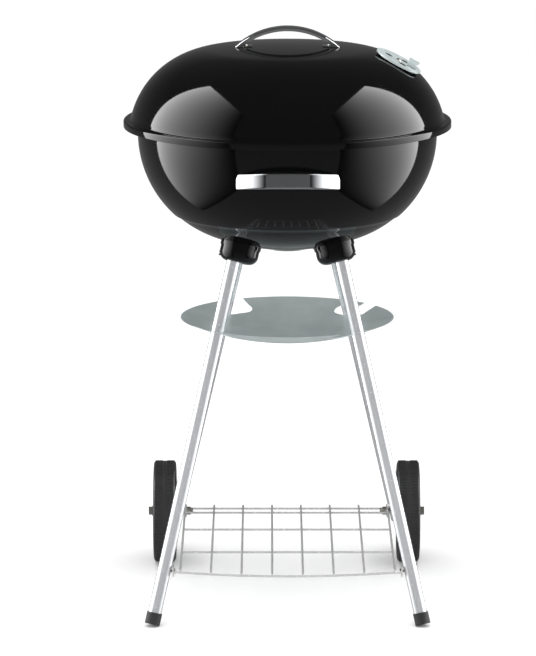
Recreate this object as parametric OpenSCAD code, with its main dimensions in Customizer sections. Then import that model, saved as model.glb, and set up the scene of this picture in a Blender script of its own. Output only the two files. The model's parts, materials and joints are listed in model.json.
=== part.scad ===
// Kettle charcoal grill: a domed lid on a deep bowl, four splayed tube legs, two wheels,
// a hung ash pan and a wire shelf. Millimetres, +Z up, front (handle side) towards -Y.

/* [Bowl] */
// Outer radius of the bowl's straight band
bowl_r = 214.5; // [170:0.5:300]
// Height of the straight band under the bowl's flange
bowl_band = 18; // [8:1:40]
// Radius of the bowl's side curve, in section
bowl_side_r = 158; // [120:1:165]
// Radius of the bowl's bottom curve, in section
bowl_bottom_r = 308.6; // [290:0.1:420]
// Height of the top of the bowl's flange above the ground
bowl_top = 697.5; // [600:0.5:900]
// Depth of the pressed ledge below the top of the flange
ledge_depth = 133; // [100:1:150]
// How far the ledge is pressed inwards
ledge_in = 1.8; // [1:0.1:4]
// Sheet thickness of the bowl and the lid
shell_t = 1.2; // [0.8:0.1:2.5]

/* [Lid] */
// How far the foot of the dome stands outside the bowl
lid_overhang = 10.5; // [6:0.5:16]
// Lean of the dome's side at its foot, in degrees
lid_lean = 12; // [4:1:20]
// Radius of the dome's shoulder, in section
lid_shoulder_r = 128; // [90:1:155]
// Radius of the dome's crown, in section
lid_crown_r = 1345; // [400:5:3000]
// Width of the rim flange outside the bowl
flange_w = 20.5; // [16:0.5:30]
// Height of the skirt around the lid's flange
skirt_h = 10; // [7:0.5:16]
// Depth of the turned-down edge of the bowl's flange
bowl_lip_h = 5; // [3:0.5:6]

/* [Handles] */
// Length of the lid handle over its feet
handle_span = 150; // [110:1:180]
// Length of the bowl handle over its feet
bowl_handle_span = 144; // [110:1:180]
// Height of the lid handle's arch above its feet
lid_handle_h = 30; // [24:1:50]
// Height of the bowl handle's arch above its feet
bowl_handle_h = 38; // [32:1:55]
// Width of the strap
strap_w = 22; // [16:1:34]
// Sheet thickness of the strap
strap_t = 1.5; // [1:0.1:3]
// Depth of the strap's turned-in edges
strap_lip = 6; // [4:0.5:9]
// Length of each mounting foot
handle_foot = 22; // [18:1:30]
// Height of the bowl handle's feet below the top of the flange
bowl_handle_drop = 58; // [38:1:70]
// Rise of the bowl handle above level, in degrees
bowl_handle_rise = 11; // [0:1:20]
// Radius of the handle screws
handle_screw_r = 2.5; // [2:0.1:3]

/* [Vents] */
// Distance of the lid vent from the grill's axis
vent_dist = 160; // [120:1:185]
// Turn of the lid vent towards the front, in degrees
vent_turn = 9; // [0:1:90]
// Radius of the lid vent's damper
damper_r = 35; // [28:1:42]
// Sheet thickness of the dampers
damper_t = 1; // [0.6:0.1:1.6]
// Radius of each vent hole in the lid
vent_hole_r = 6.5; // [4:0.5:7.5]
// Distance of the vent holes from the rivet
vent_hole_dist = 16; // [14:0.5:20]
// Radius of the bowl vent's damper
bowl_damper_r = 30; // [26:1:45]
// Radius of the rivet shanks
rivet_r = 2.5; // [2:0.1:4]

/* [Grates] */
// Depth of the cooking grate's wires below the top of the flange
grate_depth = 17; // [14:1:30]
// Radius of the grates' rim wires
grate_rim_wire_r = 2.5; // [2:0.1:4]
// Radius of the grates' bars
grate_bar_r = 1.75; // [1.25:0.05:2.4]
// Distance between the bars of the cooking grate
grate_pitch = 16; // [12:1:30]
// Distance between the bars of the charcoal grate
coal_pitch = 22; // [16:1:40]

/* [Legs] */
// Outer radius of the leg tubes
tube_r = 9.5; // [8:0.1:13]
// Wall of the leg tubes
tube_t = 1.2; // [0.8:0.1:2.5]
// Sideways distance of a front leg's top from the axis
front_top_x = 72; // [55:1:95]
// Forward distance of a front leg's top from the axis
front_top_y = 70; // [55:1:95]
// Sideways distance of a front foot from the axis
front_foot_x = 193; // [150:1:230]
// Forward distance of a front foot from the axis
front_foot_y = 195; // [150:1:230]
// Sideways distance of a rear leg's top from the axis
rear_top_x = 62.5; // [50:0.5:90]
// Backward distance of a rear leg's top from the axis
rear_top_y = 70; // [55:1:95]
// Radius of the leg sockets
socket_r = 28; // [25:0.5:34]
// Height of the leg sockets
socket_h = 24; // [20:1:34]
// Distance of a socket's axis inwards from its leg's axis
socket_offset = 8; // [5:0.5:10]
// Wall of the rubber foot caps
cap_t = 1.4; // [1:0.1:3]
// Length of the rubber foot caps
cap_len = 17; // [12:1:30]

/* [Wheels] */
// Radius of the wheels
wheel_r = 76; // [60:1:95]
// Width of the wheels
wheel_w = 33; // [28:1:45]
// Sideways distance of a rear leg from the axis at axle height
axle_leg_x = 164; // [140:1:200]
// Backward distance of the axles from the axis
axle_y = 184; // [150:1:220]
// Radius of the axle bolts
axle_r = 4; // [3:0.1:5]

/* [Ash pan] */
// Depth of the ash pan
pan_depth = 32; // [20:1:45]
// Sheet thickness of the ash pan
pan_t = 1; // [0.6:0.1:1.6]
// Height of the pan's rim above the ground
pan_z = 410; // [380:1:440]
// Turn that frees the pan from the legs, in degrees
pan_turn = 11.5; // [9:0.5:14]
// Room across each slot beyond the leg that passes through it
slot_room = 11; // [8:0.5:13]
// Width of the rim outside the widest slots
pan_strip = 3; // [2:0.5:20]

/* [Shelf] */
// Radius of the shelf's wires
wire_r = 1.6; // [1.2:0.1:2.5]
// Distance between the cross wires
shelf_pitch = 43.5; // [38:0.5:46]
// Distance between the two wires that straddle the rear legs
pair_gap = 26; // [24.5:0.5:32]
// How far the front wire bows forward
shelf_bow = 25; // [10:1:40]

/* [Hidden] */
$fn = 96;

seat_gap = 0.3;      // between pieces that rest on each other but come apart
fixed_gap = 0.1;     // between pieces that are fastened together
run_gap = 0.06;      // radial clearance of what turns on a shank
eps = 0.01;
far = 2000;

flange_r = bowl_r + flange_w;
lid_r = bowl_r + lid_overhang;
lid_z = bowl_top + seat_gap + shell_t;              // top of the lid's flange

// The bowl's section: a side arc that runs into a bottom arc centred on the axis
side_x = bowl_r - bowl_side_r;
side_z = -bowl_band;
bottom_z = side_z + sqrt(pow(bowl_bottom_r - bowl_side_r, 2) - side_x * side_x);
bowl_depth = bowl_bottom_r - bottom_z;
bowl_bottom = bowl_top - bowl_depth;

// The lid's section: a shoulder arc that runs into a crown arc centred on the axis
shoulder_x = lid_r - lid_shoulder_r * cos(lid_lean);
shoulder_z = -lid_shoulder_r * sin(lid_lean);
crown_z = shoulder_z - sqrt(pow(lid_crown_r - lid_shoulder_r, 2) - shoulder_x * shoulder_x);

// Height of the bowl's outside and the lid's outside at a distance r from the axis
function bowl_z(r) = bowl_top + bottom_z - sqrt(pow(bowl_bottom_r, 2) - r * r);
function crown_top(r) = lid_z + crown_z + sqrt(pow(lid_crown_r, 2) - r * r);
function shoulder_top(r) = lid_z + shoulder_z + sqrt(pow(lid_shoulder_r, 2) - pow(r - shoulder_x, 2));
// Radius of the bowl's outside and inside, above its ledge, at a depth d below the flange's top
function bowl_outer_r(d) = side_x + sqrt(pow(bowl_side_r, 2) - pow(max(0, d - bowl_band), 2));
function bowl_inner_r(d) = side_x
    + sqrt(pow(bowl_side_r - shell_t, 2) - pow(max(0, d - bowl_band), 2));

// Legs: the top is on the bowl's surface, the foot is where the centre line meets the ground
function over_bowl(x, y) = [x, y, bowl_z(norm([x, y]))];
front_top = over_bowl(front_top_x, -front_top_y);
front_foot = [front_foot_x, -front_foot_y, 0];
rear_top = over_bowl(rear_top_x, rear_top_y);
axle_point = [axle_leg_x, axle_y, wheel_r];
rear_foot = rear_top + (axle_point - rear_top) * rear_top.z / (rear_top.z - wheel_r);
function at_height(top, foot, z) = foot + (top - foot) * (z - foot.z) / (top.z - foot.z);
function lean(top, foot) = acos((top.z - foot.z) / norm(top - foot));
leg_seat = 6;                                        // sheet of socket above the tube's end
rear_leg_tail = 12;                                  // tube below the axle

// Wheels, from the leg outwards
leg_side = tube_r / cos(atan((axle_leg_x - rear_top_x) / (rear_top.z - wheel_r)));
washer_t = 1.4;
washer_r = 2 * axle_r;
lean_room = 1.9;                                     // the leaning tube reaches out this much
inner_washer_x = axle_leg_x + leg_side + lean_room;
hub_r = 14;
hub_x = inner_washer_x + washer_t + seat_gap;        // inner end of the hub
hub_recess = 11.3;
wheel_x = hub_x - hub_recess;                        // inner face of the tyre
hub_end = wheel_x + wheel_w + 1;
bolt_head_t = 5.3;
bolt_head_r = 1.6 * axle_r;

// The box around the grill is centred on the origin
rear_reach = axle_y + wheel_r;
handle_inset = 3;                                    // the feet end this far inside the arch
strap_corner = 2.5;                                  // rounding of the strap's edges
handle_front = -sqrt(pow(bowl_outer_r(bowl_handle_drop), 2)
    - pow(bowl_handle_span / 2 - handle_inset, 2));
handle_tip = -handle_front + (bowl_handle_h - strap_corner) * cos(bowl_handle_rise)
    + (strap_w / 2 - strap_corner) * sin(bowl_handle_rise) + strap_corner;
front_reach = max(flange_r, handle_tip);
mid_y = (rear_reach - front_reach) / 2;
module placed() translate([0, -mid_y, 0]) children();

// ---------------------------------------------------------------- shared forms

module right_half(z0, z1) translate([0, z0]) square([far, z1 - z0]);

// Section of a cup whose side arc meets an end arc on the axis. inset shrinks it evenly.
module cup_section(side, side_r, end_z, end_r, inset) {
    slope = atan2(side.y - end_z, side.x);
    intersection() {
        right_half(-far, far);
        union() {
            translate(side) intersection() {
                circle(side_r - inset);
                translate([-side.x, -far]) square([far, far]);
            }
            translate([0, end_z]) intersection() {
                circle(end_r - inset);
                polygon([[0, 0], far * [cos(slope), sin(slope)], [0, -far]]);
            }
        }
    }
}

module bowl_section(inset, ledge_z) {
    module cup(extra)
        cup_section([side_x, side_z], bowl_side_r, bottom_z, bowl_bottom_r, inset + extra);
    intersection() { cup(0); right_half(ledge_z, side_z); }
    intersection() { cup(ledge_in); right_half(-far, ledge_z); }
    translate([0, side_z]) square([bowl_r - inset, -side_z + (inset > 0 ? shell_t : 0)]);
}

// The bowl's outside, filled, and grown by a gap
module bowl_form(gap) translate([0, 0, bowl_top]) rotate_extrude($fn = 180)
    bowl_section(-gap, -ledge_depth);

module dome_section(inset) intersection() {
    right_half(inset > 0 ? -shell_t - eps : 0, far);
    mirror([0, 1])
        cup_section([shoulder_x, -shoulder_z], lid_shoulder_r, -crown_z, lid_crown_r, inset);
}

// The lid's outside, filled, and grown by a gap
module dome_form(gap) translate([0, 0, lid_z]) rotate_extrude($fn = 180) dome_section(-gap);

// A bar with two rounded corners at its outer end
module soft_bar(x0, x1, half, r) {
    translate([x0, -half]) square([x1 - x0 - r, 2 * half]);
    translate([x0, r - half]) square([x1 - x0, 2 * (half - r)]);
    for (s = [-1, 1]) translate([x1 - r, s * (half - r)]) circle(r, $fn = 32);
}

// Carries children to a leg's frame: origin at its top, +Z up along it, +X inwards
module on_leg(top, foot) {
    run = top - foot;
    translate(top) rotate([0, acos(run.z / norm(run)), atan2(run.y, run.x)]) children();
}
module left_right(left) mirror([left ? 1 : 0, 0, 0]) children();

module along_x(x0, x1, r) translate([x0, 0, 0]) rotate([0, 90, 0]) cylinder(h = x1 - x0, r = r);

module hex_head(r, h) cylinder(h = h, r = r, $fn = 6);

// ---------------------------------------------------------------- bowl and lid

bowl_vent_holes = 4;
module bowl() color([0.03, 0.03, 0.035]) placed() difference() {
    translate([0, 0, bowl_top]) rotate_extrude($fn = 180) {
        difference() {
            bowl_section(0, -ledge_depth);
            bowl_section(shell_t, -ledge_depth + shell_t);
        }
        translate([bowl_r - shell_t, -shell_t]) square([flange_r - bowl_r - shell_t, shell_t]);
        translate([flange_r - 3 - shell_t, -bowl_lip_h]) square([shell_t, bowl_lip_h]);
    }
    translate([0, 0, bowl_bottom - 5]) {
        cylinder(h = 20, r = rivet_r + fixed_gap);
        for (k = [0 : bowl_vent_holes - 1]) rotate(90 * k + 45)
            translate([bowl_vent_dist, 0, 0]) cylinder(h = 20, r = vent_hole_r);
    }
    for (left = [0, 1]) left_right(left) {
        on_leg(front_top, front_foot) socket_bolt_place() cylinder(h = 60, r = bolt_r + 0.2, center = true);
        on_leg(rear_top, rear_foot) socket_bolt_place() cylinder(h = 60, r = bolt_r + 0.2, center = true);
    }
    bowl_handle_place() translate([0, 0, tab_lift]) handle_screw_places(bowl_handle_span, bowl_tab_tilt)
        cylinder(h = 30, r = handle_screw_r + 0.2, center = true);
}

module lid() color([0.03, 0.03, 0.035]) placed() difference() {
    union() {
        dome_form(0);
        translate([0, 0, lid_z - shell_t]) cylinder(h = shell_t, r = flange_r, $fn = 180);
        translate([0, 0, lid_z - skirt_h]) cylinder(h = skirt_h, r = flange_r, $fn = 180);
        lid_vent_place() translate([0, 0, -8]) cylinder(h = 8 + pad_rise, r = pad_r);
    }
    translate([0, 0, lid_z]) rotate_extrude($fn = 180) dome_section(shell_t);
    translate([0, 0, lid_z - skirt_h - 1])
        cylinder(h = skirt_h + 1 - shell_t, r = flange_r - shell_t, $fn = 180);
    lid_vent_place() {
        translate([0, 0, -9]) cylinder(h = 9 + pad_rise - shell_t, r = pad_r - shell_t);
        cylinder(h = 20, r = rivet_r + fixed_gap, center = true);
        for (a = vent_hole_turns) rotate(a) translate([vent_hole_dist, 0, 0])
            cylinder(h = 20, r = vent_hole_r, center = true);
    }
    lid_handle_place() translate([0, 0, tab_lift]) handle_screw_places(handle_span, lid_tab_tilt)
        cylinder(h = 30, r = handle_screw_r + 0.2, center = true);
}

// ---------------------------------------------------------------- handles

lid_tab_tilt = 2;
bowl_tab_tilt = asin((bowl_handle_span / 2 - handle_foot / 2) / bowl_outer_r(bowl_handle_drop));

module lid_handle_place() translate([0, 0, crown_top(handle_span / 2)]) children();
module bowl_handle_place()
    translate([0, handle_front, bowl_top - bowl_handle_drop])
        rotate([90 - bowl_handle_rise, 0, 0]) children();

// Frame of each mounting foot: origin at the screw, +Z out of the shell
module handle_screw_places(span, tilt) for (s = [-1, 1])
    translate([s * (span / 2 - handle_inset), 0, 0]) rotate([0, s * tilt, 0])
        translate([-s * handle_foot / 2, 0, 0]) children();

module strap_handle(span, h, tilt) {
    r = (pow(span / 2, 2) + h * h) / (2 * h);
    half = acos((r - h) / r) + 3;                     // runs a little past the feet
    difference() {
        translate([0, 0, h - r]) rotate([90, 0, 0]) rotate([0, 0, 90 - half])
            rotate_extrude(angle = 2 * half, $fn = 180) difference() {
                soft_bar(r - strap_lip, r, strap_w / 2, strap_corner);
                soft_bar(r - strap_lip - 1, r - strap_t, strap_w / 2 - strap_t, strap_corner - strap_t);
            }
        translate([-far / 2, -far / 2, -far]) cube([far, far, far]);
    }
    intersection() {
        difference() {
            handle_screw_places(span, tilt) translate([-handle_foot / 2, -strap_w / 2 + strap_t, 0])
                cube([handle_foot, strap_w - 2 * strap_t, strap_t]);
            handle_screw_places(span, tilt) cylinder(h = 10, r = handle_screw_r + fixed_gap, center = true);
        }
        translate([0, strap_w / 2, h - r]) rotate([90, 0, 0]) cylinder(h = strap_w, r = r - strap_t / 2);
    }
}

module pan_screw(r, length, head_r, head_h) {
    translate([0, 0, -length]) cylinder(h = length + eps, r = r);
    intersection() {
        cylinder(h = head_h, r = head_r);
        translate([0, 0, head_h - head_r * 1.3]) sphere(head_r * 1.3);
    }
}

tab_lift = 0.9;      // the feet stand this far off the frame so that they clear the shell
handle_screw_l = 8;
module lid_handle() color([0.75, 0.76, 0.78]) placed() difference() {
    lid_handle_place() translate([0, 0, tab_lift])
        strap_handle(handle_span, lid_handle_h - tab_lift, lid_tab_tilt);
    dome_form(fixed_gap);
}
module bowl_handle() color([0.75, 0.76, 0.78]) placed() difference() {
    bowl_handle_place() translate([0, 0, tab_lift])
        strap_handle(bowl_handle_span, bowl_handle_h - tab_lift, bowl_tab_tilt);
    bowl_form(fixed_gap);
}
nut_r = 4.6;
nut_h = 3.2;
lid_nut_depth = shell_t + 0.8;
wall_tilt = bowl_handle_rise + asin(max(0, bowl_handle_drop - bowl_band) / bowl_side_r);
bowl_nut_depth = (tab_lift + shell_t) / cos(wall_tilt) + nut_r * tan(wall_tilt);
module handle_screw_set(span, tilt, length) translate([0, 0, tab_lift])
    handle_screw_places(span, tilt) translate([0, 0, strap_t + fixed_gap])
        pan_screw(handle_screw_r, length, 4.6, 2.6);
// depth is where the nut bears on the shell, below the foot
module handle_nut_set(span, tilt, depth) translate([0, 0, tab_lift]) handle_screw_places(span, tilt)
    translate([0, 0, -nut_h - depth]) difference() {
        hex_head(nut_r, nut_h);
        translate([0, 0, -1]) cylinder(h = nut_h + 2, r = handle_screw_r);
    }
module lid_handle_screws() color([0.7, 0.7, 0.7]) placed() lid_handle_place()
    handle_screw_set(handle_span, lid_tab_tilt, handle_screw_l);
module bowl_handle_screws() color([0.7, 0.7, 0.7]) placed() bowl_handle_place()
    handle_screw_set(bowl_handle_span, bowl_tab_tilt, handle_screw_l + bowl_nut_depth - lid_nut_depth);
module lid_handle_nuts() color([0.7, 0.7, 0.7]) placed() lid_handle_place()
    handle_nut_set(handle_span, lid_tab_tilt, lid_nut_depth);
module bowl_handle_nuts() color([0.7, 0.7, 0.7]) placed() bowl_handle_place()
    handle_nut_set(bowl_handle_span, bowl_tab_tilt, bowl_nut_depth);

// ---------------------------------------------------------------- vents

pad_r = damper_r - 4.5;
pad_rise = 0.6;                                       // pressed pad above the dome's surface
vent_hole_turns = [60, 180, 300];
vent_slope = asin((vent_dist - shoulder_x) / lid_shoulder_r);
bowl_vent_dist = bowl_damper_r - vent_hole_r - 3.5;
module lid_vent_place() rotate(-vent_turn)
    translate([vent_dist, 0, shoulder_top(vent_dist)]) rotate([0, vent_slope, 0]) children();

damper_tab_x = 12;                                    // from the rivet to the tab's near side
damper_tab_w = 16;
damper_tab_h = 12;
damper_slot_w = 8;                                    // the opening that the tab leaves
damper_rim_h = 2.4;
tab_notch = 4;
module lid_damper() color([0.62, 0.66, 0.66]) placed() lid_vent_place()
    translate([0, 0, pad_rise + seat_gap]) {
        difference() {
            union() {
                cylinder(h = damper_t, r = damper_r);
                translate([0, 0, damper_t - damper_rim_h]) difference() {
                    cylinder(h = damper_rim_h, r = damper_r);
                    translate([0, 0, -1]) cylinder(h = damper_rim_h + 2, r = damper_r - damper_t);
                }
            }
            cylinder(h = 10, r = rivet_r + run_gap, center = true);
            for (a = vent_hole_turns) rotate(a) translate([vent_hole_dist, 0, 0])
                cylinder(h = 10, r = vent_hole_r, center = true);
            translate([damper_tab_x + 1, -damper_slot_w, -1])
                cube([damper_tab_w - 2, damper_slot_w, 2 * damper_t + 2]);
        }
        // the tab is punched out, bent up and flares above its neck
        difference() {
            translate([damper_tab_x, 0, 0]) cube([damper_tab_w, damper_t, damper_tab_h]);
            for (s = [0, 1]) translate([damper_tab_x + s * damper_tab_w, damper_t / 2, damper_tab_h / 2])
                rotate([0, 45, 0]) cube([tab_notch, 2 * damper_t, tab_notch], center = true);
        }
    }

// A rivet that passes its plate and the shell, with a head at each side
module rivet(grip) {
    translate([0, 0, -grip]) cylinder(h = grip + eps, r = rivet_r);
    intersection() {
        cylinder(h = 1.8, r = 2 * rivet_r);
        translate([0, 0, 1.8 - 6 * rivet_r / 2.5]) sphere(6 * rivet_r / 2.5);
    }
    translate([0, 0, -grip - 1.5]) cylinder(h = 1.5 + eps, r = 2 * rivet_r);
}
module lid_damper_rivet() color([0.8, 0.8, 0.8]) placed() lid_vent_place()
    translate([0, 0, pad_rise + 2 * seat_gap + damper_t])
        rivet(shell_t + 2 * seat_gap + damper_t + fixed_gap);

bowl_damper_z = bowl_bottom + ledge_in - seat_gap;
module bowl_damper() color([0.62, 0.66, 0.66]) placed() translate([0, 0, bowl_damper_z - damper_t])
    difference() {
        union() {
            cylinder(h = damper_t, r = bowl_damper_r);
            translate([-7, 0, 0]) cube([14, bowl_damper_r + 18, damper_t]);
            translate([-7, bowl_damper_r + 18, -4]) cube([14, damper_t, 4 + damper_t]);
        }
        cylinder(h = 10, r = rivet_r + run_gap, center = true);
        for (k = [0 : bowl_vent_holes - 1]) rotate(90 * k + 45) translate([bowl_vent_dist, 0, -5])
            cylinder(h = 10, r = vent_hole_r);
    }
module bowl_damper_rivet() color([0.8, 0.8, 0.8]) placed()
    translate([0, 0, bowl_damper_z - damper_t - seat_gap]) rotate([180, 0, 0])
        rivet(shell_t + 2 * seat_gap + damper_t + fixed_gap);

// ---------------------------------------------------------------- grates

grate_z = bowl_top - grate_depth;
grate_r = bowl_r - shell_t - 4;
ledge_over = 1.1;                                    // the charcoal grate's rim passes the ledge
coal_r = bowl_inner_r(ledge_depth - shell_t) + ledge_over;
bearer_inset = 6;                                    // bearers end this far inside the rim wire
coal_z = bowl_top - ledge_depth + shell_t + seat_gap + grate_rim_wire_r;

// A round grate: a rim wire, parallel bars that end in it, and two bearers under them
module round_grate(outer, pitch, bearer_y) {
    ring_r = outer - grate_rim_wire_r;
    rotate_extrude($fn = 120) translate([ring_r, 0]) circle(grate_rim_wire_r, $fn = 24);
    count = floor((ring_r - pitch / 2) / pitch);
    for (k = [-count : count]) {
        half = sqrt(ring_r * ring_r - pow(k * pitch, 2));
        translate([k * pitch, half, 0]) rotate([90, 0, 0])
            cylinder(h = 2 * half, r = grate_bar_r, $fn = 24);
    }
    for (s = [-1, 1]) {
        half = sqrt(pow(ring_r - bearer_inset, 2) - bearer_y * bearer_y);
        translate([0, s * bearer_y, -1.6 * grate_bar_r])
            along_x(-half, half, grate_bar_r);
    }
}
module cooking_grate() color([0.7, 0.7, 0.7]) placed() translate([0, 0, grate_z])
    round_grate(grate_r, grate_pitch, 0.42 * grate_r);
module charcoal_grate() color([0.5, 0.5, 0.5]) placed() translate([0, 0, coal_z])
    round_grate(coal_r, coal_pitch, 0.42 * coal_r);

bracket_w = 18;
bracket_h = 16;
bracket_reach = 14;
bracket_t = 1.5;
bracket_top = grate_z - grate_rim_wire_r - seat_gap;
module grate_brackets() color([0.6, 0.6, 0.6]) placed() for (k = [0 : 3]) rotate(90 * k + 45) {
    wall = bowl_inner_r(bowl_top - bracket_top + bracket_h) - 0.6;
    translate([wall - bracket_reach, -bracket_w / 2, bracket_top - bracket_t])
        cube([bracket_reach, bracket_w, bracket_t]);
    translate([wall - bracket_t, -bracket_w / 2, bracket_top - bracket_h])
        cube([bracket_t, bracket_w, bracket_h]);
    translate([0, 0, bracket_top - bracket_h / 2 - 1]) along_x(wall - bracket_t - 1.5, wall + 0.4, 2.5);
}

// ---------------------------------------------------------------- legs

bolt_r = 3;
socket_bolt_in = socket_offset + 10;
socket_bolt_l = 17;                                   // below the bowl, along the leg
leg_screw_drop = 15;                                  // below the leg's top, along it
module socket_bolt_place() translate([socket_bolt_in, 0, 0]) children();
edge_r = 13;                                          // rounding of a socket's lower edge

module leg_socket(top, foot) color([0.03, 0.03, 0.035]) difference() {
    on_leg(top, foot) difference() {
        translate([socket_offset, 0, 0]) rotate_extrude() {
            translate([0, edge_r - socket_h]) square([socket_r, 40]);
            translate([0, -socket_h]) square([socket_r - edge_r, 40]);
            translate([socket_r - edge_r, edge_r - socket_h]) intersection() {
                circle(edge_r);
                translate([0, -edge_r]) square([edge_r, edge_r]);
            }
            translate([0, -2.5]) square([socket_r + 1.2, 20]);
        }
        translate([0, 0, -socket_h - 1])
            cylinder(h = socket_h + 1 - leg_seat + fixed_gap, r = tube_r + fixed_gap);
        translate([socket_bolt_in, 0, -socket_bolt_l - 1]) cylinder(h = 60, r = bolt_r);
        translate([0, 0, -leg_screw_drop]) rotate([90, 0, 0]) cylinder(h = 60, r = screw_r);
    }
    bowl_form(fixed_gap);
    translate([0, 0, bowl_top - 60]) cylinder(h = 200, r = far / 4);
}
module socket_front_left() placed() left_right(true) leg_socket(front_top, front_foot);
module socket_front_right() placed() leg_socket(front_top, front_foot);
module socket_rear_left() placed() left_right(true) leg_socket(rear_top, rear_foot);
module socket_rear_right() placed() leg_socket(rear_top, rear_foot);

module all_leg_tops() for (left = [0, 1]) left_right(left) {
    on_leg(front_top, front_foot) children();
    on_leg(rear_top, rear_foot) children();
}
// Height in a leg's frame at which a disc around the socket's bolt rests inside the bowl
collar_r = 7;
function collar_seat(top, foot) =
    let (up = (top - foot) / norm(top - foot),
         across = cross(cross(up, [0, 0, 1]), up),
         start = top - across / norm(across) * socket_bolt_in - [0, 0, bowl_top + bottom_z],
         along = start * up,
         off = sqrt(start * start - along * along) + collar_r)
    -along - sqrt(pow(bowl_bottom_r - shell_t - ledge_in, 2) - off * off) + fixed_gap;
module socket_bolt(seat) socket_bolt_place() {
    translate([0, 0, seat + 1]) hex_head(2 * bolt_r, 4);
    translate([0, 0, seat]) cylinder(h = 1 + eps, r = collar_r);
    translate([0, 0, -socket_bolt_l]) cylinder(h = socket_bolt_l + seat + 1, r = bolt_r);
}
module socket_bolts() color([0.7, 0.7, 0.7]) placed() for (left = [0, 1]) left_right(left) {
    on_leg(front_top, front_foot) socket_bolt(collar_seat(front_top, front_foot));
    on_leg(rear_top, rear_foot) socket_bolt(collar_seat(rear_top, rear_foot));
}

screw_r = 1.8;
screw_head_h = 2;
module leg_screws() color([0.7, 0.7, 0.7]) placed() all_leg_tops() translate([0, 0, -leg_screw_drop])
    rotate([90, 0, 0]) {
        cylinder(h = screw_end, r = screw_r);
        translate([0, 0, screw_end - eps]) cylinder(h = screw_head_h, r = 2 * screw_r);
    }
// the screw comes in through the side of the socket, past the tube's wall
screw_end = sqrt(pow(socket_r, 2) - pow(socket_offset - 2 * screw_r, 2)) + fixed_gap;

// Length of a leg from its top, to the end of the tube
front_len = norm(front_top - front_foot);
front_lean = lean(front_top, front_foot);
cap_r = tube_r + cap_t;
cap_trim = 1;                                         // worn flat where the cap stands
cap_end = front_len - (cap_r * sin(front_lean) - cap_trim) / cos(front_lean);
cap_floor = 3;
rear_len = norm(rear_top - axle_point) + rear_leg_tail;

module leg_tube(length) translate([0, 0, -length]) difference() {
    cylinder(h = length - leg_seat, r = tube_r);
    translate([0, 0, -1]) cylinder(h = length - leg_seat + 2, r = tube_r - tube_t);
}
module leg_screw_hole() translate([0, 0, -leg_screw_drop]) rotate([90, 0, 0])
    cylinder(h = 40, r = screw_r + fixed_gap);

module front_leg() color([0.72, 0.73, 0.75]) difference() {
    on_leg(front_top, front_foot) difference() {
        leg_tube(cap_end - cap_floor);
        leg_screw_hole();
    }
    translate(front_at_shelf) along_x(-30, 0, screw_r + fixed_gap);
}
module rear_leg() color([0.72, 0.73, 0.75]) difference() {
    on_leg(rear_top, rear_foot) difference() {
        leg_tube(rear_len);
        leg_screw_hole();
    }
    translate(axle_point) along_x(-30, 30, axle_r + fixed_gap);
}
module leg_front_left() placed() left_right(true) front_leg();
module leg_front_right() placed() front_leg();
module leg_rear_left() placed() left_right(true) rear_leg();
module leg_rear_right() placed() rear_leg();

module foot_cap() color([0.05, 0.05, 0.05]) difference() {
    on_leg(front_top, front_foot) translate([0, 0, -cap_end]) difference() {
        rotate_extrude() soft_cap_section();
        translate([0, 0, cap_floor]) cylinder(h = cap_len, r = tube_r);
    }
    translate([-far / 2, -far / 2, -far]) cube([far, far, far]);
}
module soft_cap_section() {
    translate([0, 1]) square([cap_r, cap_len - 1]);
    square([cap_r - 1, 2]);
    translate([cap_r - 1, 1]) intersection() {
        circle(1, $fn = 24);
        translate([0, -1]) square([1, 1]);
    }
}
module foot_cap_left() placed() left_right(true) foot_cap();
module foot_cap_right() placed() foot_cap();

module rear_leg_plugs() color([0.05, 0.05, 0.05]) placed() for (left = [0, 1]) left_right(left)
    on_leg(rear_top, rear_foot) translate([0, 0, -rear_len]) {
        translate([0, 0, -1.5]) cylinder(h = 1.5, r = tube_r);
        cylinder(h = 6, r = tube_r - tube_t);
    }

// ---------------------------------------------------------------- wheels

tread_edge = 4;
rim_t = 12;                                           // thickness of the tyre's ring
web_t = 4;
module wheel() color([0.07, 0.07, 0.075]) translate([0, axle_y, wheel_r]) rotate([90, 0, 90])
    rotate_extrude($fn = 180) difference() {
        union() {
            translate([wheel_r - rim_t, wheel_x]) square([rim_t - tread_edge, wheel_w]);
            translate([wheel_r - rim_t, wheel_x + tread_edge]) square([rim_t, wheel_w - 2 * tread_edge]);
            for (z = [wheel_x + tread_edge, wheel_x + wheel_w - tread_edge])
                translate([wheel_r - tread_edge, z]) circle(tread_edge, $fn = 32);
            translate([hub_r - eps, wheel_x + 0.6 * wheel_w]) square([wheel_r - rim_t - hub_r + 1, web_t]);
            translate([0, hub_x]) square([hub_r, hub_end - hub_x]);
        }
        translate([0, hub_x - 1]) square([axle_r + run_gap, wheel_w + 5]);
    }
module wheel_left() placed() left_right(true) wheel();
module wheel_right() placed() wheel();

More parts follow.
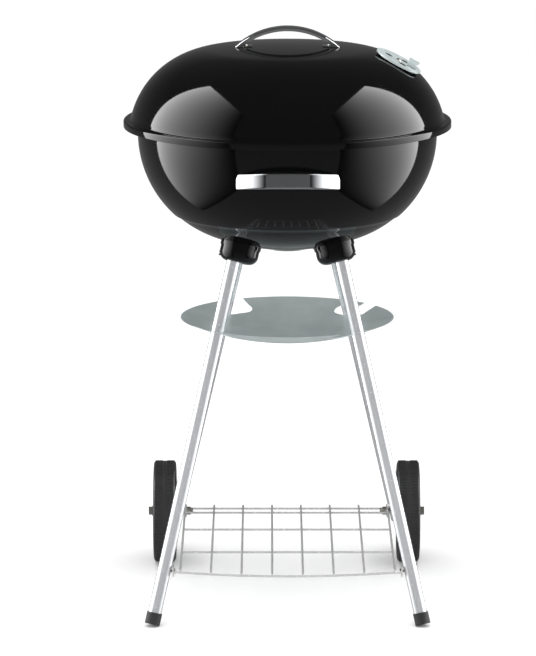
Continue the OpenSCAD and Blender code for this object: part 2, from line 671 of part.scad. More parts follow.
bolt_head_x = hub_end + seat_gap + washer_t;
tab_t = 2;
tab_lean_room = 2.2;                                  // keeps a flat tab clear of a leaning tube
rear_tab_x = axle_leg_x - leg_side - tab_lean_room - tab_t;
nut_x = rear_tab_x - fixed_gap - 6;
module at_axles() for (left = [0, 1]) left_right(left) translate([0, axle_y, wheel_r]) children();
module axle_bolts() color([0.78, 0.76, 0.7]) placed() at_axles() {
    along_x(nut_x - 3.5, bolt_head_x + eps, axle_r);
    translate([bolt_head_x, 0, 0]) rotate([0, 90, 0]) hex_head(bolt_head_r, bolt_head_t);
}
module axle_washers() color([0.78, 0.76, 0.7]) placed() at_axles()
    for (x = [inner_washer_x, hub_end + seat_gap - fixed_gap]) difference() {
        along_x(x, x + washer_t, washer_r);
        along_x(x - 1, x + washer_t + 1, axle_r + fixed_gap);
    }
module axle_nuts() color([0.78, 0.76, 0.7]) placed() at_axles() difference() {
    translate([nut_x, 0, 0]) rotate([0, 90, 0]) hex_head(bolt_head_r, 6);
    along_x(nut_x - 1, nut_x + 7, axle_r);
}

// ---------------------------------------------------------------- ash pan

// The pan hangs on the splay of the legs: the outer edge of each slot bears on its leg
rim_drop = 5;                                         // from the rim down to the slots
front_at_pan = at_height(front_top, front_foot, pan_z - rim_drop);
rear_at_pan = at_height(rear_top, rear_foot, pan_z - rim_drop);
pan_rest = 0.5;                                       // from a leg's outer side to its slot's edge
slot_w = 2 * tube_r + slot_room;
function slot_reach(p) = norm([p.x, p.y]) + tube_r / cos(front_lean) + pan_rest;
pan_r = max(slot_reach(front_at_pan), slot_reach(rear_at_pan)) + pan_strip;
pan_sphere_r = (pan_r * pan_r + pan_depth * pan_depth) / (2 * pan_depth);
slot_past = 1.5;                                      // degrees of slot beyond each leg
slot_step = 0.5;                                      // the slots' round ends are this much narrower
gate_w = slot_w - 3;

module ash_pan() color([0.47, 0.52, 0.52]) placed() translate([0, 0, pan_z]) difference() {
    rotate_extrude($fn = 180) intersection() {
        translate([0, -pan_depth - 1]) square([pan_r, pan_depth + 1]);
        translate([0, pan_sphere_r - pan_depth]) difference() {
            circle(pan_sphere_r, $fn = 360);
            circle(pan_sphere_r - pan_t, $fn = 360);
        }
    }
    for (p = [front_at_pan, rear_at_pan]) for (s = [-1, 1]) rotate(atan2(p.y, s * p.x) - pan_turn) {
        slot_r = slot_reach(p) - slot_w / 2;
        span = pan_turn + slot_past;
        translate([0, 0, -pan_depth]) {
            rotate_extrude(angle = span)
                translate([slot_r - slot_w / 2, 0]) square([slot_w, 2 * pan_depth]);
            for (a = [0, span]) rotate(a) translate([slot_r, 0, 0])
                cylinder(h = 2 * pan_depth, r = slot_w / 2 - slot_step);
            // the gate through the rim
            translate([slot_r, -gate_w / 2, 0]) cube([pan_r, gate_w, 2 * pan_depth]);
        }
    }
}

// ---------------------------------------------------------------- shelf

shelf_z = wheel_r;
front_at_shelf = at_height(front_top, front_foot, shelf_z);
front_leg_side = tube_r / cos(atan((front_foot_x - front_top_x) / front_top.z));
front_tab_x = front_at_shelf.x - front_leg_side - tab_lean_room - tab_t;
front_wire_y = front_at_shelf.y - 2 * screw_r - wire_r - 0.4;  // where the front wire meets its tabs
wire_end_x = front_tab_x + 0.5;                       // the wire's end is sunk in its tab
bow_r = (pow(wire_end_x, 2) + shelf_bow * shelf_bow) / (2 * shelf_bow);
bow_y = front_wire_y - shelf_bow + bow_r;             // centre of the front wire's arc
pair_y = [axle_y - pair_gap / 2, axle_y + pair_gap / 2];
cross_count = 4;                                      // cross wires on each side
cross_x = [for (k = [0 : cross_count - 1]) (k + 0.5) * shelf_pitch];
cross_z = shelf_z + 1.85 * wire_r;
function bow_at(x) = bow_y - sqrt(bow_r * bow_r - x * x);
middle_y = [for (k = [1, 2]) pair_y[0] + (bow_at(0) - pair_y[0]) * (k == 1 ? 0.277 : 0.635)];

module wire_y(x, y0, y1, z) translate([x, y1, z]) rotate([90, 0, 0])
    cylinder(h = y1 - y0, r = wire_r, $fn = 24);
module wire_x(y, half, z) translate([0, y, z]) along_x(-half, half, wire_r);
module wire_shelf() color([0.6, 0.6, 0.6]) placed() {
    for (y = pair_y) wire_x(y, axle_leg_x - 3, shelf_z);
    for (y = middle_y) wire_x(y, cross_x[cross_count - 1] + 1, shelf_z);
    half = asin(wire_end_x / bow_r);
    translate([0, bow_y, shelf_z]) rotate([0, 0, 270 - half])
        rotate_extrude(angle = 2 * half, $fn = 360) translate([bow_r, 0]) circle(wire_r, $fn = 24);
    for (x = cross_x) for (s = [-1, 1]) {
        last = x == cross_x[cross_count - 1];
        wire_y(s * x, bow_at(x) - 1, last ? pair_y[0] + 1 : pair_y[1] + 7, cross_z);
    }
    for (left = [0, 1]) left_right(left) {
        difference() {
            translate([rear_tab_x, pair_y[0], shelf_z - 7]) cube([tab_t, pair_gap, 14]);
            translate([0, axle_y, shelf_z])
                along_x(rear_tab_x - 1, rear_tab_x + tab_t + 1, axle_r + fixed_gap);
        }
        difference() {
            translate([front_tab_x, front_at_shelf.y - 8, shelf_z - 7]) cube([tab_t, 16, 14]);
            translate(front_at_shelf) along_x(-30, 0, screw_r + fixed_gap);
        }
    }
}
module shelf_screws() color([0.7, 0.7, 0.7]) placed() for (left = [0, 1]) left_right(left)
    translate([0, front_at_shelf.y, shelf_z]) {
        along_x(front_tab_x - screw_head_h, front_at_shelf.x, screw_r);
        along_x(front_tab_x - screw_head_h - fixed_gap, front_tab_x - fixed_gap, 2 * screw_r);
    }

// ---------------------------------------------------------------- what is drawn

bowl();
lid();
lid_handle();
lid_handle_screws();
lid_handle_nuts();
bowl_handle();
bowl_handle_screws();
bowl_handle_nuts();
lid_damper();
lid_damper_rivet();
bowl_damper();
bowl_damper_rivet();
cooking_grate();
grate_brackets();
charcoal_grate();
socket_front_left();
socket_front_right();
socket_rear_left();
socket_rear_right();
socket_bolts();
leg_screws();
leg_front_left();
leg_front_right();
leg_rear_left();
leg_rear_right();
foot_cap_left();
foot_cap_right();
rear_leg_plugs();
wheel_left();
wheel_right();
axle_bolts();
axle_washers();
axle_nuts();
ash_pan();
wire_shelf();
shelf_screws();
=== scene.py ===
"""Visual model of a kettle charcoal grill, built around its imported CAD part."""

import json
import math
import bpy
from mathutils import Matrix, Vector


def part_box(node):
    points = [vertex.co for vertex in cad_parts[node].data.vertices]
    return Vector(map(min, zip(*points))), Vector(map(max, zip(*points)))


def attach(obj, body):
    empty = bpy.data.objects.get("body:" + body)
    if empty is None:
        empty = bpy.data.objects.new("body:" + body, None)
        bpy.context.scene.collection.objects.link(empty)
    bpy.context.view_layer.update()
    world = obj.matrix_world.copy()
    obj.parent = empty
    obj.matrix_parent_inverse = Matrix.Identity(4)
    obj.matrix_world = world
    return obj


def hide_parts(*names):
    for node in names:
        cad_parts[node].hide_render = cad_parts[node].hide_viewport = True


bl_info = {
    "name": "Kettle Charcoal Grill",
    "version": (1, 0, 0),
    "blender": (4, 5, 0),
    "location": "View3D > Sidebar > Kettle Grill",
    "description": "Models the shells, wheels and trim of a kettle grill and sets its stage",
    "category": "Add Mesh",
}

import bpy
from bpy.props import FloatProperty, FloatVectorProperty, IntProperty, PointerProperty
from mathutils import Matrix, Vector

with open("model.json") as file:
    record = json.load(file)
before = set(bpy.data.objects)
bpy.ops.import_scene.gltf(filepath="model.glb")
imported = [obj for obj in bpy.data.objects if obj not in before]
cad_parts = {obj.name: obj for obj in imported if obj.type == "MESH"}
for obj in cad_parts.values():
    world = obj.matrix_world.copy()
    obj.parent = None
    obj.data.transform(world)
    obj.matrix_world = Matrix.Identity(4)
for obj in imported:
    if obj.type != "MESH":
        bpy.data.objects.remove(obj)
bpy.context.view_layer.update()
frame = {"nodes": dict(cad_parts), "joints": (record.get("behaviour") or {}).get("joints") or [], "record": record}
MM = 0.001

VENT_HOLE_R = 6.5 * MM
LID_VENT_HOLE_OUT = 16 * MM
BOWL_VENT_HOLE_OUT = 20 * MM
LID_GAP = 0.3 * MM                   # between the bowl's flange and the lid's
SMOOTH_UP_TO = 32                    # faces that meet at less stay smooth, in degrees
WHEEL_STEPS = 144
GRAIN_DEPTH = 0.4 * MM

LID_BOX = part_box("lid")
BOWL_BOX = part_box("bowl")
AXIS_Y = (LID_BOX[0].y + LID_BOX[1].y) / 2
FLANGE_R = LID_BOX[1].x
BOWL_TOP = BOWL_BOX[1].z
SKIRT_BOTTOM = LID_BOX[0].z


def slot_of(node):
    """The record's material slot of a CAD node."""
    for part in frame["record"]["subparts"]:
        if part["node"] == node:
            return part["material_slot"]
    raise RuntimeError(f"no slot is recorded for {node}")


# ---------------------------------------------------------------- what a user can change


class KettleSizes(bpy.types.PropertyGroup):
    """Sizes of the modelled pieces, in metres"""

    sheet: FloatProperty(
        name="Sheet", description="Thickness of the enamelled steel",
        default=1.2 * MM, min=0.5 * MM, max=3 * MM, unit="LENGTH")
    bowl_radius: FloatProperty(
        name="Bowl radius", description="Outer radius of the bowl's straight band",
        default=214.5 * MM, min=0.1, max=0.4, unit="LENGTH")
    bowl_band: FloatProperty(
        name="Bowl band", description="Height of the straight band under the flange",
        default=18 * MM, min=0.0, max=0.05, unit="LENGTH")
    bowl_side: FloatProperty(
        name="Bowl side", description="Radius of the bowl's side curve",
        default=158 * MM, min=0.1, max=0.3, unit="LENGTH")
    bowl_bottom: FloatProperty(
        name="Bowl bottom", description="Radius of the bowl's bottom curve",
        default=308.6 * MM, min=0.2, max=0.6, unit="LENGTH")
    ledge_depth: FloatProperty(
        name="Ledge depth", description="Depth of the pressed ledge below the flange",
        default=133 * MM, min=0.05, max=0.2, unit="LENGTH")
    ledge_in: FloatProperty(
        name="Ledge width", description="How far the ledge is pressed inwards",
        default=1.8 * MM, min=0.0, max=0.01, unit="LENGTH")
    lid_overhang: FloatProperty(
        name="Lid overhang", description="How far the foot of the dome stands outside the bowl",
        default=10.5 * MM, min=0.0, max=0.03, unit="LENGTH")
    lid_lean: FloatProperty(
        name="Lid lean", description="Lean of the dome's side at its foot",
        default=math.radians(12), min=0.0, max=0.6, subtype="ANGLE")
    lid_shoulder: FloatProperty(
        name="Lid shoulder", description="Radius of the dome's shoulder curve",
        default=128 * MM, min=0.05, max=0.2, unit="LENGTH")
    lid_crown: FloatProperty(
        name="Lid crown", description="Radius of the dome's crown curve",
        default=1.345, min=0.3, max=4.0, unit="LENGTH")
    rolled_edge: FloatProperty(
        name="Rolled edge", description="Radius of the bends at the lid's rim",
        default=2.4 * MM, min=0.5 * MM, max=5 * MM, unit="LENGTH")
    turns: IntProperty(
        name="Turned steps", description="Steps around each turned shell",
        default=180, min=24, max=512)
    tread_ribs: IntProperty(
        name="Tread ribs", description="Ribs around each shoulder of a tread, a multiple of 3",
        default=96, min=12, max=192)
    rib_height: FloatProperty(
        name="Rib height", description="Height of the ribs on the tread",
        default=0.9 * MM, min=0.2 * MM, max=3 * MM, unit="LENGTH")
    spokes: IntProperty(
        name="Spokes", description="Ribs between a wheel's hub and its rim",
        default=8, min=3, max=16)


class KettleColours(bpy.types.PropertyGroup):
    """Colours of the finishes"""

    enamel: FloatVectorProperty(
        name="Enamel", description="Colour of the porcelain enamel",
        default=(0.0018, 0.0018, 0.002), min=0, max=1, subtype="COLOR")
    chrome: FloatVectorProperty(
        name="Chrome", description="Colour of the plated handles and legs",
        default=(0.66, 0.67, 0.69), min=0, max=1, subtype="COLOR")
    tin: FloatVectorProperty(
        name="Tin", description="Colour of the ash pan and the dampers",
        default=(0.5, 0.56, 0.56), min=0, max=1, subtype="COLOR")
    wire: FloatVectorProperty(
        name="Wire", description="Colour of the plated wires",
        default=(0.5, 0.5, 0.5), min=0, max=1, subtype="COLOR")
    zinc: FloatVectorProperty(
        name="Zinc", description="Colour of the fasteners",
        default=(0.6, 0.58, 0.53), min=0, max=1, subtype="COLOR")
    plastic: FloatVectorProperty(
        name="Plastic", description="Colour of the wheels",
        default=(0.022, 0.022, 0.023), min=0, max=1, subtype="COLOR")
    rubber: FloatVectorProperty(
        name="Rubber", description="Colour of the foot caps and plugs",
        default=(0.02, 0.02, 0.02), min=0, max=1, subtype="COLOR")


class KettleStage(bpy.types.PropertyGroup):
    """Camera, light and floor"""

    distance: FloatProperty(
        name="Distance", description="Distance from the camera to the kettle's axis",
        default=6.1, min=1.0, max=20.0, unit="LENGTH")
    height: FloatProperty(
        name="Height", description="Height of the camera above the floor",
        default=1.6112, min=0.1, max=6.0, unit="LENGTH")
    sideways: FloatProperty(
        name="Sideways", description="Place of the camera left or right of the middle",
        default=-0.0278, min=-1.0, max=1.0, unit="LENGTH")
    pitch: FloatProperty(
        name="Pitch", description="Angle the camera looks down by",
        default=math.radians(11.295), min=-1.5, max=1.5, subtype="ANGLE")
    lens: FloatProperty(
        name="Lens", description="Focal length", default=235.8, min=20.0, max=600.0)
    floor: FloatVectorProperty(
        name="Floor", description="Colour of the floor",
        default=(0.9, 0.9, 0.9), min=0, max=1, subtype="COLOR")
    key: FloatProperty(
        name="Softboxes", description="Strength of the two softboxes",
        default=8.0, min=0.0, max=50.0)
    overhead: FloatProperty(
        name="Overhead", description="Power of the light above", default=60, min=0, max=1000)
    fill: FloatProperty(
        name="Fill", description="Power of the light in front", default=90, min=0, max=1000)
    backdrop: FloatProperty(
        name="Backdrop", description="Brightness of the pale surroundings",
        default=1.12, min=0.0, max=5.0)
    panel_out: FloatProperty(
        name="Softbox distance", description="Distance of the softboxes from the middle",
        default=1.6, min=0.5, max=5.0, unit="LENGTH")


# ---------------------------------------------------------------- modelling helpers


def clear_selection():
    """Leaves every object deselected, in object mode."""
    if bpy.context.mode != "OBJECT":
        bpy.ops.object.mode_set(mode="OBJECT")
    bpy.ops.object.select_all(action="DESELECT")


def edit():
    bpy.ops.object.mode_set(mode="EDIT")
    bpy.ops.mesh.select_mode(type="VERT")
    bpy.ops.mesh.select_all(action="SELECT")


def done(obj, name, angle=None):
    """Names a piece, bakes its place into its mesh and shades it."""
    if bpy.context.mode != "OBJECT":
        bpy.ops.object.mode_set(mode="OBJECT")
    obj.name = name
    obj.data.name = name
    bpy.ops.object.select_all(action="DESELECT")
    obj.select_set(True)
    bpy.context.view_layer.objects.active = obj
    bpy.ops.object.transform_apply(location=True, rotation=True, scale=True)
    if angle is not None:
        bpy.ops.object.shade_smooth_by_angle(angle=math.radians(angle))
    bpy.ops.object.select_all(action="DESELECT")
    return obj


def apply_modifier(obj, kind, **settings):
    bpy.context.view_layer.objects.active = obj
    modifier = obj.modifiers.new(kind.title(), kind)
    for key, value in settings.items():
        setattr(modifier, key, value)
    bpy.ops.object.modifier_apply(modifier=modifier.name)


def chain(points):
    """An edit-mode line of vertices through the points, extruded one after another."""
    clear_selection()
    bpy.ops.mesh.primitive_plane_add(size=MM, location=(0, 0, 0))
    obj = bpy.context.object
    edit()
    bpy.ops.mesh.merge(type="CENTER")
    bpy.ops.transform.translate(value=points[0])
    for a, b in zip(points, points[1:]):
        bpy.ops.mesh.extrude_region_move(
            TRANSFORM_OT_translate={"value": Vector(b) - Vector(a)})
    return obj


def turned(points, centre, axis, steps, closed=False):
    """Spins a line of points a full turn into a closed skin."""
    obj = chain(points + [points[0]] if closed else points)
    bpy.ops.mesh.select_all(action="SELECT")
    bpy.ops.mesh.spin(steps=steps, angle=math.tau, center=centre, axis=axis)
    bpy.ops.mesh.select_all(action="SELECT")
    bpy.ops.mesh.remove_doubles(threshold=2e-6)
    bpy.ops.mesh.dissolve_degenerate(threshold=1e-7)
    bpy.ops.mesh.select_all(action="SELECT")
    bpy.ops.mesh.normals_make_consistent(inside=False)
    bpy.ops.object.mode_set(mode="OBJECT")
    return obj


def arc(centre, radius, start, end, count):
    """Points (r, z) of an arc, angles in degrees from the +r direction."""
    return [(centre[0] + radius * math.cos(math.radians(start + (end - start) * k / count)),
             centre[1] + radius * math.sin(math.radians(start + (end - start) * k / count)))
            for k in range(count + 1)]


def upright(profile, base=0.0):
    """Places an (r, z) profile beside the kettle's axis."""
    return [Vector((max(r, 0.0), AXIS_Y, base + z)) for r, z in profile]


def cut(obj, cutters):
    """Cuts the cutters' solids out of obj and removes them."""
    for cutter in cutters:
        apply_modifier(obj, "BOOLEAN", operation="DIFFERENCE", object=cutter, solver="EXACT")
    for cutter in cutters:
        bpy.data.objects.remove(cutter)


def peg(place, radius, low, high, sides=48):
    """A cylinder along Z of a placing matrix, used as a cutter."""
    clear_selection()
    bpy.ops.mesh.primitive_cylinder_add(
        vertices=sides, radius=radius, depth=high - low, location=(0, 0, (high + low) / 2))
    obj = bpy.context.object
    bpy.ops.object.transform_apply(location=True, rotation=True, scale=True)
    obj.data.transform(place)
    return obj


def spoke(angle, out):
    """Places something at a distance from Z, at an angle in degrees around it."""
    return Matrix.Rotation(math.radians(angle), 4, "Z") @ Matrix.Translation((out, 0, 0))


def put_finish(obj, material):
    obj.data.materials.clear()
    obj.data.materials.append(material)


# ---------------------------------------------------------------- materials


def blank(name):
    """A new material with its node tree and its shader."""
    material = bpy.data.materials.new(name)
    material.use_nodes = True
    tree = material.node_tree
    shader = tree.nodes["Principled BSDF"]
    return material, tree, shader


def node(tree, kind, **values):
    """Adds a node and sets its inputs or settings by name."""
    made = tree.nodes.new(kind)
    for key, value in values.items():
        if key in made.inputs:
            made.inputs[key].default_value = value
        else:
            setattr(made, key, value)
    return made


def object_noise(tree, scale, stretch=(1, 1, 1), detail=4.0, roughness=0.55):
    """Noise on Object coordinates, stretched by a Mapping node."""
    coords = node(tree, "ShaderNodeTexCoord")
    mapping = node(tree, "ShaderNodeMapping", Scale=stretch)
    noise = node(tree, "ShaderNodeTexNoise", Scale=scale, Detail=detail, Roughness=roughness)
    tree.links.new(coords.outputs["Object"], mapping.inputs["Vector"])
    tree.links.new(mapping.outputs["Vector"], noise.inputs["Vector"])
    return noise.outputs["Fac"]


def spread(tree, source, low, high):
    """Maps a noise's middle range to low..high."""
    ranged = node(tree, "ShaderNodeMapRange")
    ranged.inputs["From Min"].default_value = 0.3
    ranged.inputs["From Max"].default_value = 0.7
    ranged.inputs["To Min"].default_value = low
    ranged.inputs["To Max"].default_value = high
    tree.links.new(source, ranged.inputs["Value"])
    return ranged.outputs["Result"]


def tinted(tree, source, dark, light):
    """A colour between dark and light, by source."""
    mix = node(tree, "ShaderNodeMix", data_type="RGBA")
    ends = {"A": (*dark, 1), "B": (*light, 1)}
    for socket in mix.inputs:
        if socket.type == "RGBA":
            socket.default_value = ends[socket.name]
    tree.links.new(source, mix.inputs["Factor"])
    return [s for s in mix.outputs if s.type == "RGBA"][0]


def bump(tree, shader, source, strength, distance):
    """Raises the surface by source, as seen in its shading."""
    bumped = node(tree, "ShaderNodeBump", Strength=strength, Distance=distance)
    tree.links.new(source, bumped.inputs["Height"])
    tree.links.new(bumped.outputs["Normal"], shader.inputs["Normal"])


def shade(colour, factor):
    """The colour made lighter or darker, at most white."""
    return tuple(min(1.0, c * factor) for c in colour)


def finish_material(name, colour, metallic, rough, grain, wear, stretch=(1, 1, 1), relief=0.0,
                    specular=0.5):
    """One finish: colour and roughness vary with grain-sized noise, wear is their spread."""
    material, tree, shader = blank(f"{name}_finish")
    shader.inputs["Metallic"].default_value = metallic
    shader.inputs["Specular IOR Level"].default_value = specular
    fine = object_noise(tree, grain, stretch)
    broad = object_noise(tree, grain / 12, (1, 1, 1), 2.0)
    tree.links.new(tinted(tree, spread(tree, broad, 0, 1), shade(colour, 1 - wear),
                          shade(colour, 1 + wear)), shader.inputs["Base Color"])
    tree.links.new(spread(tree, fine, rough[0], rough[1]), shader.inputs["Roughness"])
    if relief:
        bump(tree, shader, fine, relief, GRAIN_DEPTH)
    FINISHES[name] = material


FINISHES = {}


def materials():
    """Every finish by the record's slot name, made once."""
    if FINISHES:
        return FINISHES
    colours = bpy.context.scene.kettle_colours
    finish_material("enamel", colours.enamel, 0.0, (0.04, 0.07), 40, 0.15, specular=0.36)
    finish_material("handle_chrome", colours.chrome, 1.0, (0.05, 0.1), 120, 0.04, (0.1, 6, 6))
    finish_material("leg_chrome", shade(colours.chrome, 1.15), 0.7, (0.16, 0.28), 130, 0.05,
                    (6, 6, 0.08))
    finish_material("tin", colours.tin, 0.3, (0.36, 0.5), 300, 0.07, (1, 1, 1), 0.04)
    finish_material("grate_wire", colours.wire, 0.9, (0.28, 0.4), 400, 0.1)
    finish_material("shelf_wire", shade(colours.wire, 1.3), 0.5, (0.2, 0.3), 400, 0.06)
    finish_material("rubber", colours.rubber, 0.0, (0.5, 0.65), 600, 0.15, (1, 1, 1), 0.1)
    finish_material("plug_plastic", colours.rubber, 0.0, (0.4, 0.5), 500, 0.1, (1, 1, 1), 0.05)
    finish_material("wheel_plastic", colours.plastic, 0.0, (0.3, 0.4), 500, 0.12, (1, 1, 1), 0.06)
    finish_material("zinc", colours.zinc, 1.0, (0.25, 0.38), 700, 0.08)
    return FINISHES


# ---------------------------------------------------------------- pieces


class KETTLE_OT_lid(bpy.types.Operator):
    """Turns the domed lid from its section, with a rolled rim, and cuts its vent"""

    bl_idname = "kettle.lid"
    bl_label = "Lid"

    def execute(self, context):
        s = context.scene.kettle_sizes
        lid_z = BOWL_TOP + LID_GAP + s.sheet
        foot_r = s.bowl_radius + s.lid_overhang
        lean = math.degrees(s.lid_lean)
        shoulder = (foot_r - s.lid_shoulder * math.cos(s.lid_lean),
                    -s.lid_shoulder * math.sin(s.lid_lean))
        crown_z = shoulder[1] - math.sqrt((s.lid_crown - s.lid_shoulder) ** 2 - shoulder[0] ** 2)
        meet = math.degrees(math.atan2(shoulder[1] - crown_z, shoulder[0]))
        skirt = SKIRT_BOTTOM - lid_z
        bend = s.rolled_edge

        def dome(inset):
            return (arc((0, crown_z), s.lid_crown - inset, 90, meet, 26)
                    + arc(shoulder, s.lid_shoulder - inset, meet, lean, 44)[1:])

        outer = dome(0)
        inner = dome(s.sheet)
        foot = arc((foot_r + bend, bend), bend, 180 + 2 * lean / 3, 270, 6)
        outer = [p for p in outer if p[1] > foot[0][1]] + foot
        rim = arc((FLANGE_R - bend, -bend), bend, 90, 0, 8)
        hem = arc((FLANGE_R - s.sheet / 2, skirt + s.sheet / 2), s.sheet / 2, 0, -180, 6)
        inner_rim = arc((FLANGE_R - bend, -bend), bend - s.sheet, 0, 90, 6)
        inner_foot = arc((foot_r + bend, bend), bend + s.sheet, 270, 180 + 2 * lean / 3, 5)
        inner = [p for p in inner if p[1] > inner_foot[-1][1]]
        profile = outer + rim + hem + inner_rim + inner_foot + inner[::-1]
        lid = turned(upright(profile, lid_z), (0, AXIS_Y, 0), (0, 0, 1), s.turns)
        place = self.vent_place()
        cut(lid, self.vent_pegs(place, -30 * MM))
        done(lid, "lid_shell", SMOOTH_UP_TO)
        put_finish(lid, materials()["enamel"])
        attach(lid, "lid")
        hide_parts("lid")
        self.pad(s, place)
        return {"FINISHED"}

    def vent_place(self):
        """Frame of the vent: on the dome's shoulder, +Z out of it."""
        joint = next(j for j in frame["joints"] if j["name"] == "lid_vent_turn")
        axis = Vector(joint["axis"])
        sideways = Vector((-axis.y, axis.x, 0)).normalized()
        across = sideways.cross(axis).normalized()
        turn = Matrix((across, sideways, axis)).transposed().to_4x4()
        return Matrix.Translation(Vector(joint["pos_m"])) @ turn

    def vent_pegs(self, place, low):
        """Cutters for the three holes around the vent's rivet."""
        return [peg(place @ spoke(a, LID_VENT_HOLE_OUT), VENT_HOLE_R, low, 20 * MM)
                for a in (60, 180, 300)]

    def pad(self, s, place):
        """The flat pad pressed up under the damper."""
        radius, rise, soft, foot = 30.5 * MM, 0.6 * MM, 0.8 * MM, -6 * MM
        profile = [(0, rise)] + arc((radius - soft, rise - soft), soft, 90, 0, 5)
        profile += [(radius, foot), (radius - s.sheet, foot),
                    (radius - s.sheet, rise - s.sheet), (0, rise - s.sheet)]
        pad = turned([Vector((r, 0, z)) for r, z in profile], (0, 0, 0), (0, 0, 1), 72)
        cut(pad, self.vent_pegs(Matrix.Identity(4), -20 * MM))
        pad.data.transform(place)
        done(pad, "lid_vent_pad", SMOOTH_UP_TO)
        put_finish(pad, materials()["enamel"])
        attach(pad, "lid")


class KETTLE_OT_bowl(bpy.types.Operator):
    """Turns the deep bowl from its section, with a flange, a pressed ledge and vent holes"""

    bl_idname = "kettle.bowl"
    bl_label = "Bowl"

    def execute(self, context):
        s = context.scene.kettle_sizes
        side = (s.bowl_radius - s.bowl_side, -s.bowl_band)
        bottom_z = side[1] + math.sqrt((s.bowl_bottom - s.bowl_side) ** 2 - side[0] ** 2)
        meet = math.degrees(math.atan2(side[1] - bottom_z, side[0]))

        def skin(inset, ledge_z):
            ledge_angle = -math.degrees(math.asin(
                (s.ledge_depth + ledge_z - s.bowl_band) / (s.bowl_side - inset)))
            low_angle = -math.degrees(math.asin(
                (s.ledge_depth + ledge_z + 1.5 * MM - s.bowl_band)
                / (s.bowl_side - inset - s.ledge_in)))
            lower = arc((0, bottom_z), s.bowl_bottom - s.ledge_in - inset, -90, meet, 40)
            lower += arc(side, s.bowl_side - s.ledge_in - inset, meet, low_angle, 8)[1:]
            upper = arc(side, s.bowl_side - inset, ledge_angle, 0, 46)
            return lower + upper

        lip_r = FLANGE_R - 3 * MM
        lip = 5 * MM
        bend = 2 * MM
        outer = skin(0, 0)
        outer += arc((s.bowl_radius + bend, -s.sheet - bend), bend, 180, 90, 6)
        outer += arc((lip_r - bend, -bend), bend - s.sheet, 90, 0, 5)
        outer += [(lip_r - s.sheet, -lip)]
        outer += arc((lip_r - s.sheet / 2, -lip + s.sheet / 2), s.sheet / 2, -180, 0, 6)[1:]
        outer += arc((lip_r - bend, -bend), bend, 0, 90, 8)
        outer += arc((s.bowl_radius + bend, -s.sheet - bend), bend + s.sheet, 90, 180, 6)
        inner = skin(s.sheet, -s.sheet)
        profile = outer + inner[::-1]
        bowl = turned(upright(profile, BOWL_TOP), (0, AXIS_Y, 0), (0, 0, 1), s.turns)
        floor = Matrix.Translation((0, AXIS_Y, BOWL_BOX[0].z))
        cut(bowl, [peg(floor @ spoke(90 * k + 45, BOWL_VENT_HOLE_OUT), VENT_HOLE_R,
                       -8 * MM, 12 * MM) for k in range(4)])
        done(bowl, "bowl_shell", SMOOTH_UP_TO)
        put_finish(bowl, materials()["enamel"])
        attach(bowl, "stand")
        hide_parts("bowl")
        return {"FINISHED"}


